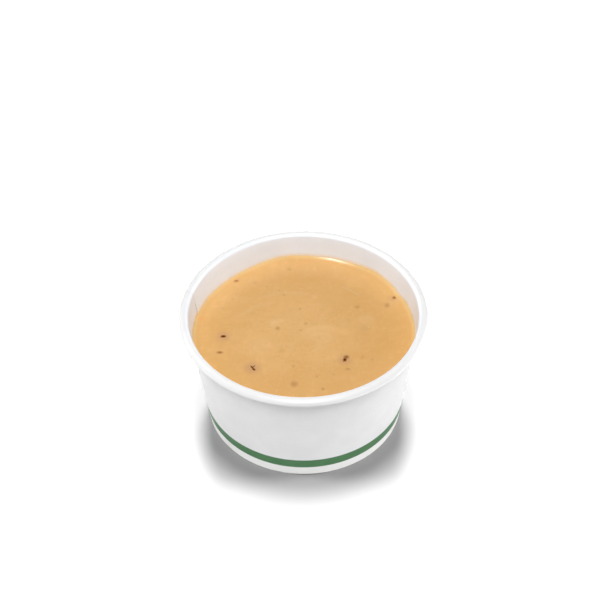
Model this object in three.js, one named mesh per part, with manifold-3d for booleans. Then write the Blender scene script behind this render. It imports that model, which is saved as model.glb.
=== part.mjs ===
// A round paper takeaway bowl filled with gravy: a tapered paper wall with a rolled rim and a folded foot,
// a recessed paper base, and the gravy with a few flecks of pepper on it.
// Millimetres, +Z up. The origin is the centre of the ring that the bowl stands on.

import * as THREE from 'three';
import { mergeVertices } from 'three/addons/utils/BufferGeometryUtils.js';
import Module from 'manifold-3d';

const wasm = await Module();
wasm.setup();

const { degToRad, euclideanModulo, lerp, radToDeg, smoothstep } = THREE.MathUtils;

// Driving dimensions of the bowl
const RIM_OUTER_RADIUS = 57.5;
const HEIGHT = 61;
const WALL_TAPER = 0.1084; // growth of the wall's radius for each millimetre of height
const PAPER = 0.45; // thickness of the coated paper board
const GAP = 0.3; // clearance between neighbouring pieces

// The rolled rim, as an ellipse on the paper's centreline
const ROLL_HALF_WIDTH = 2.025;
const ROLL_HALF_HEIGHT = 1.775;
const ROLL_TUCK = 0.8; // how far the roll tightens, so that its end clears the wall
const ROLL_INNERMOST = 180; // degrees round the roll, which the paper follows from its inner side over its top
const ROLL_TOP = 90;
const ROLL_OUTERMOST = 0;
const ROLL_UNDERSIDE = -90;
const ROLL_TUCK_FROM = -60;
const ROLL_TUCK_TO = -180;
const ROLL_END = -210;
const ROLL_STEP = 30;

// The folded foot and the base that it grips
const FOLD_RADIUS = 0.4; // centreline radius of the two folds under the foot
const FLAP_TOP = 6.2; // height of the folded-in flap's edge
const BASE_TOP = 7.45; // height of the base's upper face at its edge
const BASE_CROWN = 0.4; // how much the base rises to its middle
const BASE_BEND_RADIUS = 0.75;

// The lap, where the two ends of the wall's blank lie on each other, in degrees about +Z from +X
const LAP_START = 158.3; // the outer ply's cut edge, a step on the outside
const LAP_END = 165.8; // the inner ply's cut edge, a step on the inside
const LAP_FADE = 6.3; // degrees over which the paper comes back to the round beside a step
const STEP_HALF_WIDTH = 0.1; // half of the angle that a cut edge takes
const LAP_ON_ROLL = 0.35; // share of the lap's thickness that still shows on the rolled rim
const OUTSIDE_LAP_HEIGHTS = [0.7, 3]; // the lap's outer step grows over these heights
const INSIDE_LAP_HEIGHTS = [8, 14]; // the lap's inner step grows over these heights

// The gravy: its level, the film that climbs the wall, and the unevenness left by pouring
const POOL_LEVEL = 47.15;
const MENISCUS = { rise: 1.2, reach: 4.5, power: 2.4 }; // how the surface curves up to the wall
const SWELL = { reach: 18, power: 2 }; // how far in from the wall a swell is felt
const SWELLS = [ // places round the wall, and widths, in degrees
  { azimuth: 137, width: 33, rise: -1.7 },
  { azimuth: 101, width: 12.5, rise: 1.05 },
  { azimuth: 47, width: 10, rise: 1.0 },
  { azimuth: 27, width: 4, rise: -0.9 },
  { azimuth: 222, width: 24, rise: -0.5 },
  { azimuth: 300, width: 28, rise: 0.45 },
];
const POUR_RIDGES = [
  { x: -5, y: -6, radius: 31.3, from: 78, to: 150, width: 4, rise: 0.3 },
  { x: 10.5, y: -7.5, radius: 11, from: 35, to: 140, width: 2.6, rise: 0.35 },
  { x: -9.5, y: 0.5, radius: 7.2, from: 70, to: 165, width: 2.2, rise: 0.25 },
  { x: 0, y: 0, radius: 35.3, from: 38, to: 62, width: 2.6, rise: 0.25 },
];
const RIDGE_FADE = 14; // degrees over which a ridge runs out at its ends

// Flecks of pepper and browned onion that lie on the gravy: their places, half sizes and turn in degrees
const FLECKS = [
  { x: -37.7, y: -2.1, long: 1.25, wide: 0.6, turn: 4 },
  { x: -39.0, y: -12.6, long: 1.2, wide: 0.7, turn: -8 },
  { x: -24.3, y: -21.7, long: 1.7, wide: 0.5, turn: -62 },
  { x: -22.8, y: -22.6, long: 1.0, wide: 0.42, turn: -22 },
  { x: 18.7, y: -18.4, long: 1.5, wide: 1.05, turn: 70 },
  { x: 43.8, y: 22.8, long: 1.1, wide: 0.9, turn: 30 },
  { x: -32.5, y: 35.8, long: 1.0, wide: 0.65, turn: 12 },
  { x: 39.7, y: 17.6, long: 1.0, wide: 0.7, turn: 60 },
];
const FLECK_HALF_HEIGHT = 0.55;
const FLECK_SIDES = 7;
const FLECK_BANDS = 4;

// How finely the round pieces are divided
const ROUND_STEP = 5; // degrees between azimuths
const CLEAR_OF_LAP = 1; // degrees that even azimuths keep from those of the lap
const FOLD_STEPS = 2;
const BEND_STEPS = 3;
const BASE_SIDES = 72;
const CROWN_RADII = [14, 28, 39]; // where the base's slight dome is divided
const GRAVY_FLOOR_RADIUS = 22;
const SURFACE_STEPS = [0, 0.7, 1.8, 3.2, 4.8, 8, 12, 18, 24, 31, 38, 45]; // distances in from the wall

// Worked out from the dimensions above
const SLANT = Math.hypot(1, WALL_TAPER); // length of wall for each millimetre of height
const ROLL_CENTRE = new THREE.Vector2(
  RIM_OUTER_RADIUS - PAPER / 2 - ROLL_HALF_WIDTH,
  HEIGHT - PAPER / 2 - ROLL_HALF_HEIGHT
);
const ROLL_START = ROLL_INNERMOST - radToDeg(Math.atan(WALL_TAPER * ROLL_HALF_HEIGHT / ROLL_HALF_WIDTH));
const WALL_LEAN = radToDeg(Math.atan(WALL_TAPER));

const materials = {
  paper: new THREE.MeshStandardMaterial({ color: 0xf4f3f2, roughness: 0.45, metalness: 0 }),
  base: new THREE.MeshStandardMaterial({ color: 0xefece7, roughness: 0.55, metalness: 0 }),
  gravy: new THREE.MeshStandardMaterial({ color: 0xe1af6e, roughness: 0.25, metalness: 0 }),
};

// The rolled rim's centreline, from the top of the wall over the outside and back in under itself.
class RimRoll extends THREE.Curve {
  getPoint(t, target = new THREE.Vector2()) {
    const turn = lerp(ROLL_START, ROLL_END, t);
    const tuck = ROLL_TUCK * smoothstep(-turn, -ROLL_TUCK_FROM, -ROLL_TUCK_TO);
    return target.set(
      ROLL_CENTRE.x + (ROLL_HALF_WIDTH - tuck) * Math.cos(degToRad(turn)),
      ROLL_CENTRE.y + (ROLL_HALF_HEIGHT - tuck) * Math.sin(degToRad(turn))
    );
  }
}

const roll = new RimRoll();
const wallTop = roll.getPoint(0);

// Radius of the wall's centreline at a height.
function wallRadius(height) {
  return wallTop.x - WALL_TAPER * (wallTop.y - height);
}

// Radius, at a height, of the centreline of a layer that lies some papers and gaps inside the wall.
function layerRadius(height, layersIn) {
  return wallRadius(height) - layersIn * (PAPER + GAP) * SLANT;
}

// Stations along a curve: where the paper's centreline is, and the way from it to the paper's left face.
function stationsAt(curve, parameters) {
  return parameters.map((t) => {
    const along = curve.getTangent(t);
    return { at: curve.getPoint(t), left: new THREE.Vector2(-along.y, along.x) };
  });
}

function evenly(steps) {
  return Array.from({ length: steps + 1 }, (_, i) => i / steps);
}

function fold(centreRadius, centreHeight, radius, fromDegrees, toDegrees, clockwise) {
  const from = degToRad(fromDegrees);
  const to = degToRad(toDegrees);
  return new THREE.EllipseCurve(centreRadius, centreHeight, radius, radius, from, to, clockwise);
}

// The wall's centreline: down the folded-in flap, round the foot, up the wall and round the rolled rim.
function wallStations() {
  const folds = evenly(FOLD_STEPS);
  const foldHeight = PAPER / 2 + FOLD_RADIUS;
  const innerFold = layerRadius(foldHeight, 2) + FOLD_RADIUS * SLANT;
  const outerFold = wallRadius(foldHeight) - FOLD_RADIUS * SLANT;
  const flapEdge = { at: new THREE.Vector2(layerRadius(FLAP_TOP, 2), FLAP_TOP), left: wallNormal(1) };
  const wallHeights = [OUTSIDE_LAP_HEIGHTS[1], ...INSIDE_LAP_HEIGHTS];
  const wall = wallHeights.map((height) => ({
    at: new THREE.Vector2(wallRadius(height), height),
    left: wallNormal(-1),
  }));
  const rollTurns = [ROLL_START];
  for (let turn = ROLL_INNERMOST - ROLL_STEP; turn >= ROLL_END; turn -= ROLL_STEP) {
    rollTurns.push(turn);
  }
  const rollParameters = rollTurns.map((turn) => (turn - ROLL_START) / (ROLL_END - ROLL_START));
  return [
    flapEdge,
    ...stationsAt(fold(innerFold, foldHeight, FOLD_RADIUS, 180 - WALL_LEAN, 270, false), folds),
    ...stationsAt(fold(outerFold, foldHeight, FOLD_RADIUS, 270, 360 - WALL_LEAN, false), folds),
    ...wall,
    ...stationsAt(roll, rollParameters).map((station, i) => ({ ...station, turn: rollTurns[i] })),
  ];
}

// Unit normal of the leaning wall: side 1 points away from the axis and side -1 towards it.
function wallNormal(side) {
  return new THREE.Vector2(1, -WALL_TAPER).normalize().multiplyScalar(side);
}

// How far a face of the wall stands off its usual place near the lap. beyond is the angle past the cut edge
// that shows on that face: within the lap it is negative and the paper is doubled.
function lapRise(beyond) {
  if (beyond > 0) {
    return -PAPER / 2 * (1 - smoothstep(beyond, 0, LAP_FADE));
  }
  const lap = LAP_END - LAP_START;
  return PAPER / 2 * (1 - smoothstep(-lap - beyond, 0, LAP_FADE));
}

// The share of the lap's rise that a station of the wall's paper takes: it grows over the given heights,
// shrinks over the rolled rim's top and ends at its underside, and the flap has none.
function lapShare(station, heights) {
  if (station.turn !== undefined) {
    const onTop = lerp(1, LAP_ON_ROLL, smoothstep(-station.turn, -ROLL_START, -ROLL_TOP));
    return onTop * smoothstep(station.turn, ROLL_UNDERSIDE, ROLL_OUTERMOST);
  }
  const onFlap = station.at.x < layerRadius(station.at.y, 1);
  return onFlap ? 0 : smoothstep(station.at.y, ...heights);
}

function insideRise(azimuth, station) {
  return lapRise(azimuth - LAP_END) * lapShare(station, INSIDE_LAP_HEIGHTS);
}

function outsideRise(azimuth, station) {
  return lapRise(LAP_START - azimuth) * lapShare(station, OUTSIDE_LAP_HEIGHTS);
}

// Azimuths of a round piece, in degrees: even ones, and closer ones where the lap's two steps are.
function lapAzimuths() {
  const lap = [
    LAP_START - LAP_FADE,
    LAP_START - LAP_FADE / 2,
    LAP_START - STEP_HALF_WIDTH,
    LAP_START + STEP_HALF_WIDTH,
    (LAP_START + LAP_END) / 2,
    LAP_END - STEP_HALF_WIDTH,
    LAP_END + STEP_HALF_WIDTH,
    LAP_END + LAP_FADE / 2,
    LAP_END + LAP_FADE,
  ];
  const even = [];
  for (let azimuth = 0; azimuth < 360; azimuth += ROUND_STEP) {
    if (azimuth < lap[0] - CLEAR_OF_LAP || azimuth > lap[lap.length - 1] + CLEAR_OF_LAP) {
      even.push(azimuth);
    }
  }
  return [...even, ...lap].sort((a, b) => a - b);
}

// The skin over rows of points that stand round the axis, one row for each azimuth. A row closes on itself,
// or it runs from the axis to the axis.
function skin(azimuths, outlineAt, rowCloses) {
  const rows = azimuths.map((azimuth) => outlineAt(azimuth).map(({ x, y }) => {
    const angle = degToRad(azimuth);
    return [x * Math.cos(angle), x * Math.sin(angle), y];
  }));
  const length = rows[0].length;
  const index = [];
  rows.forEach((_, i) => {
    const here = i * length;
    const next = ((i + 1) % rows.length) * length;
    for (let j = 0; j < (rowCloses ? length : length - 1); j += 1) {
      const k = (j + 1) % length;
      if (rowCloses || j > 0) {
        index.push(here + j, next + j, next + k);
      }
      if (rowCloses || k < length - 1) {
        index.push(here + j, next + k, here + k);
      }
    }
  });
  const geometry = new THREE.BufferGeometry();
  geometry.setAttribute('position', new THREE.Float32BufferAttribute(rows.flat(2), 3));
  geometry.setIndex(index);
  return mergeVertices(geometry);
}

function offset(station, distance) {
  return station.at.clone().addScaledVector(station.left, distance);
}

// The wall, its rolled rim and its folded foot: one sheet of paper, lapped on itself.
function makeWall() {
  const stations = wallStations();
  const outlineAt = (azimuth) => {
    const inside = stations.map((s) => offset(s, PAPER / 2 + insideRise(azimuth, s)));
    const outside = stations.map((s) => offset(s, -PAPER / 2 - outsideRise(azimuth, s)));
    return [...outside, ...inside.reverse()];
  };
  return shaded(skin(lapAzimuths(), outlineAt, true));
}

// The base: a shallow dome of paper whose edge is bent down into a skirt inside the foot. Its own origin is
// on the upper face at the edge.
function makeBase() {
  const bendHeight = BASE_TOP - PAPER / 2 - BASE_BEND_RADIUS;
  const bendRadius = layerRadius(bendHeight, 1) - BASE_BEND_RADIUS * SLANT;
  const bottom = PAPER + GAP;
  const dome = [0, ...CROWN_RADII].map((radius) => {
    const rise = BASE_CROWN * (1 - (radius / bendRadius) ** 2);
    return { at: new THREE.Vector2(radius, BASE_TOP - PAPER / 2 + rise), left: new THREE.Vector2(0, 1) };
  });
  const bend = fold(bendRadius, bendHeight, BASE_BEND_RADIUS, 90, -WALL_LEAN, true);
  const skirt = { at: new THREE.Vector2(layerRadius(bottom, 1), bottom), left: wallNormal(1) };
  const stations = [...dome, ...stationsAt(bend, evenly(BEND_STEPS)), skirt];
  const upper = stations.map((s) => offset(s, PAPER / 2));
  const under = stations.map((s) => offset(s, -PAPER / 2));
  const outline = [...under, ...upper.reverse()].map(({ x, y }) => new THREE.Vector2(x, y - BASE_TOP));
  return new THREE.LatheGeometry(outline, BASE_SIDES);
}

// Radius of the gravy's side at a height: just inside the wall's inner face, lap and all.
function gravyRadius(azimuth, height) {
  const rise = lapRise(azimuth - LAP_END) * smoothstep(height, ...INSIDE_LAP_HEIGHTS);
  return wallRadius(height) - (PAPER / 2 + rise + GAP) * SLANT;
}

// How much the swells lift the gravy where it meets the wall.
function swellRise(azimuth) {
  return SWELLS.reduce((rise, swell) => {
    const away = euclideanModulo(azimuth - swell.azimuth + 180, 360) - 180;
    return rise + swell.rise * Math.exp(-((away / swell.width) ** 2));
  }, 0);
}

// Height at which the gravy meets the wall.
function shoreHeight(azimuth) {
  return POOL_LEVEL + MENISCUS.rise + swellRise(azimuth);
}

// Share of a rise at the wall that is left at a distance from it.
function climb(fromWall, { reach, power }) {
  return Math.max(1 - fromWall / reach, 0) ** power;
}

// Height that the ridges left by pouring add at a point.
function ridgeHeight(x, y) {
  return POUR_RIDGES.reduce((height, ridge) => {
    const angle = radToDeg(Math.atan2(y - ridge.y, x - ridge.x));
    const off = (Math.hypot(x - ridge.x, y - ridge.y) - ridge.radius) / ridge.width;
    const within = smoothstep(angle, ridge.from - RIDGE_FADE, ridge.from + RIDGE_FADE)
      * (1 - smoothstep(angle, ridge.to - RIDGE_FADE, ridge.to + RIDGE_FADE));
    return height + ridge.rise * within * Math.exp(-(off ** 2));
  }, 0);
}

// Height of the gravy's surface at a radius and azimuth.
function surfaceHeight(radius, azimuth) {
  const angle = degToRad(azimuth);
  const fromWall = Math.max(gravyRadius(azimuth, shoreHeight(azimuth)) - radius, 0);
  const meniscus = climb(fromWall, MENISCUS);
  const swell = swellRise(azimuth) * climb(fromWall, SWELL);
  const ridges = ridgeHeight(radius * Math.cos(angle), radius * Math.sin(angle)) * (1 - meniscus);
  return POOL_LEVEL + MENISCUS.rise * meniscus + swell + ridges;
}

// A fleck: a small flat lump, half sunk in the surface.
function makeFleck({ x, y, long, wide, turn }) {
  const fleck = new THREE.SphereGeometry(1, FLECK_SIDES, FLECK_BANDS);
  const azimuth = radToDeg(Math.atan2(y, x));
  fleck.rotateX(Math.PI / 2);
  fleck.scale(long, wide, FLECK_HALF_HEIGHT);
  fleck.rotateZ(degToRad(turn));
  fleck.translate(x, y, surfaceHeight(Math.hypot(x, y), azimuth));
  return fleck;
}

// The gravy, from just above the base up to its surface, with the flecks fused to it.
function makeGravy() {
  const floorHeight = BASE_TOP + GAP;
  const outlineAt = (azimuth) => {
    const shore = shoreHeight(azimuth);
    const shoreRadius = gravyRadius(azimuth, shore);
    const floor = [
      new THREE.Vector2(0, floorHeight + BASE_CROWN),
      new THREE.Vector2(GRAVY_FLOOR_RADIUS, floorHeight + BASE_CROWN),
    ];
    const side = [floorHeight, ...INSIDE_LAP_HEIGHTS]
      .map((height) => new THREE.Vector2(gravyRadius(azimuth, height), height));
    const surface = SURFACE_STEPS.map((step) => {
      const radius = shoreRadius - step;
      return new THREE.Vector2(radius, surfaceHeight(radius, azimuth));
    });
    return [...floor, ...side, ...surface, new THREE.Vector2(0, surfaceHeight(0, 0))];
  };
  const pool = toSolid(skin(lapAzimuths(), outlineAt, false));
  const withFlecks = FLECKS.reduce((solid, fleck) => solid.add(toSolid(makeFleck(fleck))), pool);
  return fromSolid(withFlecks);
}

// A closed geometry as a solid that can be joined or cut.
function toSolid(geometry) {
  const bare = new THREE.BufferGeometry();
  bare.setAttribute('position', geometry.getAttribute('position'));
  bare.setIndex(geometry.getIndex());
  const merged = mergeVertices(bare);
  return new wasm.Manifold(new wasm.Mesh({
    numProp: 3,
    vertProperties: merged.getAttribute('position').array,
    triVerts: Uint32Array.from(merged.getIndex().array),
  }));
}

function fromSolid(solid) {
  const { vertProperties, triVerts } = solid.getMesh();
  const geometry = new THREE.BufferGeometry();
  geometry.setAttribute('position', new THREE.BufferAttribute(vertProperties, 3));
  geometry.setIndex(new THREE.BufferAttribute(triVerts, 1));
  return shaded(geometry);
}

function shaded(geometry) {
  geometry.computeVertexNormals();
  return geometry;
}

function named(name, geometry, material) {
  const mesh = new THREE.Mesh(geometry, material);
  mesh.name = name;
  return mesh;
}

const wall = named('bowl_wall', makeWall(), materials.paper);

const base = named('bowl_base', makeBase(), materials.base);
base.rotation.x = Math.PI / 2;
base.position.z = BASE_TOP;

const gravy = named('gravy', makeGravy(), materials.gravy);

const bowl = new THREE.Group();
bowl.add(wall, base);

const bowlOfGravy = new THREE.Group();
bowlOfGravy.add(bowl, gravy);

export default bowlOfGravy;
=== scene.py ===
"""A paper takeaway bowl of gravy: the printed paper wall with its rolled rim, the recessed base, the
gravy with its flecks of pepper and onion, and a plain studio round them. Lengths are in metres where a
comment doesn't say millimetres. +Z is up, and the origin is the centre of the ring that the bowl stands
on."""

import math

import bmesh
import bpy
from bpy.props import FloatProperty, FloatVectorProperty, IntProperty, PointerProperty
from mathutils import Matrix, Vector, noise


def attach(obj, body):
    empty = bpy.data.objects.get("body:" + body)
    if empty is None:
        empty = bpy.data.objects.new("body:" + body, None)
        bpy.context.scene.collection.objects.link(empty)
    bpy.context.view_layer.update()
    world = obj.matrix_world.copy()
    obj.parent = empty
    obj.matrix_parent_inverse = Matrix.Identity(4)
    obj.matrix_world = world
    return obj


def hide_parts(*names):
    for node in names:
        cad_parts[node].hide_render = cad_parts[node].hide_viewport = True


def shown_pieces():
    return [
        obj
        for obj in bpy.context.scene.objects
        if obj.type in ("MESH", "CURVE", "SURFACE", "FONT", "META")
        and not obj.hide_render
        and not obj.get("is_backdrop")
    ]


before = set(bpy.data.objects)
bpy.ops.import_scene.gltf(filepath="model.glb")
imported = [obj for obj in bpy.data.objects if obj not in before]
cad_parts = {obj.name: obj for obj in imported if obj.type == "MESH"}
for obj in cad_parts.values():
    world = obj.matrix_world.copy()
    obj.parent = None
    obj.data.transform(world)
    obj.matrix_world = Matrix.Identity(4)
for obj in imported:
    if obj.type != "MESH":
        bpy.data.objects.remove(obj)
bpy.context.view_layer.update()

bl_info = {
    "name": "Paper Bowl of Gravy",
    "version": (1, 0, 0),
    "blender": (4, 5, 0),
    "location": "3D View > Sidebar > Bowl",
    "description": "Builds a paper takeaway bowl filled with pepper gravy, and a studio to look at it in",
    "category": "Add Mesh",
}

MM = 0.001
BODY = "root"


# ---------------------------------------------------------------- settings


def length(name, description, millimetres):
    """A length that the user sets, with its default in millimetres."""
    return FloatProperty(
        name=name, description=description, default=millimetres * MM, precision=5, unit="LENGTH"
    )


def colour(name, description, red, green, blue):
    """A colour that the user sets."""
    return FloatVectorProperty(
        name=name, description=description, default=(red, green, blue),
        subtype="COLOR", size=3, min=0, max=1,
    )


def turn(name, description, degrees):
    """An angle that the user sets, with its default in degrees."""
    return FloatProperty(
        name=name, description=description, default=math.radians(degrees), subtype="ANGLE"
    )


def share(name, description, default):
    """A plain number from 0 to 1 that the user sets."""
    return FloatProperty(name=name, description=description, default=default, min=0, max=1)


def power(name, description, watts):
    """The power of a light."""
    return FloatProperty(name=name, description=description, default=watts, min=0, unit="POWER")


class PaperSettings(bpy.types.PropertyGroup):
    """The paper of the bowl: its wall, rolled rim, folded foot and base."""

    rim_radius: length("Rim radius", "Outer radius of the rolled rim", 57.5)
    height: length("Height", "Height of the rolled rim's top", 61)
    taper: share("Taper", "Growth of the wall's radius with its height", 0.1084)
    thickness: length("Paper", "Thickness of the coated board", 0.45)
    gap: length("Gap", "Clearance between the wall's layers and the base", 0.3)
    roll_width: length("Roll width", "Half width of the rolled rim on the paper's centreline", 2.025)
    roll_height: length("Roll height", "Half height of the rolled rim on the paper's centreline", 1.775)
    roll_tuck: length("Roll tuck", "How far the roll tightens towards its hidden end", 0.8)
    fold_radius: length("Fold radius", "Centreline radius of the two folds under the foot", 0.4)
    flap_top: length("Flap top", "Height of the edge of the flap that is folded in", 6.2)
    base_top: length("Base top", "Height of the base's upper face at its edge", 7.45)
    base_crown: length("Base crown", "How much the base rises to its middle", 0.4)
    base_bend: length("Base bend", "Centreline radius of the bend into the base's skirt", 0.75)
    lap_start: turn("Lap start", "Azimuth of the outer ply's cut edge", 158.3)
    lap_end: turn("Lap end", "Azimuth of the inner ply's cut edge", 165.8)
    lap_fade: turn("Lap fade", "Angle in which the paper comes back to the round beside the lap", 6.3)
    band_bottom: length("Band bottom", "Height of the printed band's lower edge", 5.845)
    band_top: length("Band top", "Height of the printed band's upper edge", 11.53)
    columns: IntProperty(name="Columns", description="Steps of the paper round the bowl", default=184)
    board: colour("Board", "White coated board, outside", 0.85, 0.82, 0.8)
    lining: colour("Lining", "White coated board, food side", 0.91, 0.938, 0.985)
    # foot: painted light, a lighter copy of the board that lifts the shade on the strip by the floor
    foot: colour("Foot", "White coated board, below the band", 0.9, 0.87, 0.83)
    # rim: painted shade, a darker copy of the lining board for the brightly lit rolled rim
    rim: colour("Rim", "White coated board, on the rolled rim", 0.73, 0.705, 0.68)
    ink: colour("Band ink", "Green of the printed band", 0.05, 0.157, 0.055)


class GravySettings(bpy.types.PropertyGroup):
    """The gravy: its level, how it meets the wall, and its colours."""

    level: length("Level", "Height of the gravy away from the wall", 47.15)
    meniscus_rise: length("Meniscus rise", "How far the gravy climbs the wall", 1.2)
    meniscus_reach: length("Meniscus reach", "How far from the wall the climb begins", 4.5)
    meniscus_power: FloatProperty(
        name="Meniscus power", description="How suddenly the climb steepens", default=2.4, min=1
    )
    swell_reach: length("Swell reach", "How far in from the wall its swells are felt", 18)
    swell_power: FloatProperty(
        name="Swell power", description="How suddenly a swell steepens", default=2, min=1
    )
    grip: length("Grip", "How far the gravy reaches into the wall, so that no gap shows", 0.05)
    body: colour("Gravy", "The gravy's main colour", 0.70, 0.41, 0.155)
    pale: colour("Pale streaks", "Paler streaks of cream and starch", 0.82, 0.505, 0.215)
    deep: colour("Deep streaks", "Browner streaks", 0.68, 0.38, 0.13)
    thin: colour("Thin edge", "The gravy's thin edge against the paper", 0.80, 0.55, 0.25)
    film: colour("Film", "The film that the gravy leaves on the paper above it", 0.90, 0.66, 0.40)
    pepper: colour("Pepper", "Pepper flecks", 0.075, 0.018, 0.004)
    onion: colour("Browned onion", "Brown flecks", 0.28, 0.10, 0.045)


class StudioSettings(bpy.types.PropertyGroup):
    """The camera and the light round the bowl."""

    distance: length("Distance", "From the camera to the middle of the rim, along the view", 589)
    lens: FloatProperty(name="Lens", description="Focal length on a 36 mm sensor", default=76.36, min=1)
    elevation: turn("Elevation", "Angle of the view below the horizon", 43.469)
    roll: turn("Roll", "Turn of the camera about its own view", -0.8665)
    aside: length("Aside", "How far the camera stands to the left of the bowl's middle", 0.582)
    above: length("Above", "How far the view passes above the rim's middle", 3.627)
    floor_top: power("Floor top", "Softbox over the bowl, for the floor alone", 31)
    floor_back: power("Floor back", "Low softbox behind the bowl, for the floor alone", 100)
    floor_sides: power("Floor sides", "Low softbox on either side, for the floor alone", 53.3)
    paper_front: power("Paper front", "High softbox in front, for the paper alone", 17.7)
    paper_left: power("Paper left", "Softbox behind on the left, for the paper alone", 7.9)
    paper_right: power("Paper right", "Low softbox on the right, for the paper alone", 6.1)
    paper_low: power("Paper low", "Ring of low softboxes, for the paper alone, all together", 39.8)
    paper_tint: colour("Paper tint", "Colour of the light that falls on the paper", 0.935, 0.967, 1.0)
    gravy_key: power("Gravy key", "Softbox above on the left, for the gravy alone", 7.6)
    gravy_front: power("Gravy front", "Wide softbox in front, for the gravy alone", 8.3)
    backdrop: FloatProperty(name="Backdrop", description="Brightness of the white backdrop", default=1)
    room: FloatProperty(name="Room", description="Light that comes back from the dark room", default=0.01)


# ---------------------------------------------------------------- lines of the paper

ROLL_INNERMOST = math.radians(180)
ROLL_TUCK_FROM = math.radians(-60)
ROLL_TUCK_TO = math.radians(-180)
ROLL_END = math.radians(-210)
ROLL_STEPS = 32
FOLD_STEPS = 5
LAP_THINS = (8.5 * MM, 5 * MM)  # depths under the rim between which the lap is pressed thin
LAP_PRESSED = (0.22, 0.74)  # shares of the paper's thickness left to the inner and the outer ply there
PLY_CLEARANCE = 0.01 * MM
TIGHTEST_FOLD = 0.12 * MM
STEP_GROWS = (0.7 * MM, 3 * MM)  # heights over which the lap's step outside grows from the foot
RIB_HEIGHTS = (5.4 * MM, 1.9 * MM)  # where the crimped ribs of the flap end
RIB_RUNOUT = 0.35 * MM
RIB_DEPTH = 0.11 * MM
WALL_ROW = 5 * MM  # greatest distance between the wall's rows
INSIDE_LAP_HEIGHTS = (8 * MM, 14 * MM)  # the lap's step inside grows over these heights in the gravy's side


def smoothstep(value, low, high):
    """0 below low, 1 above high, and a smooth rise between them."""
    t = min(max((value - low) / (high - low), 0), 1)
    return t * t * (3 - 2 * t)


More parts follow.
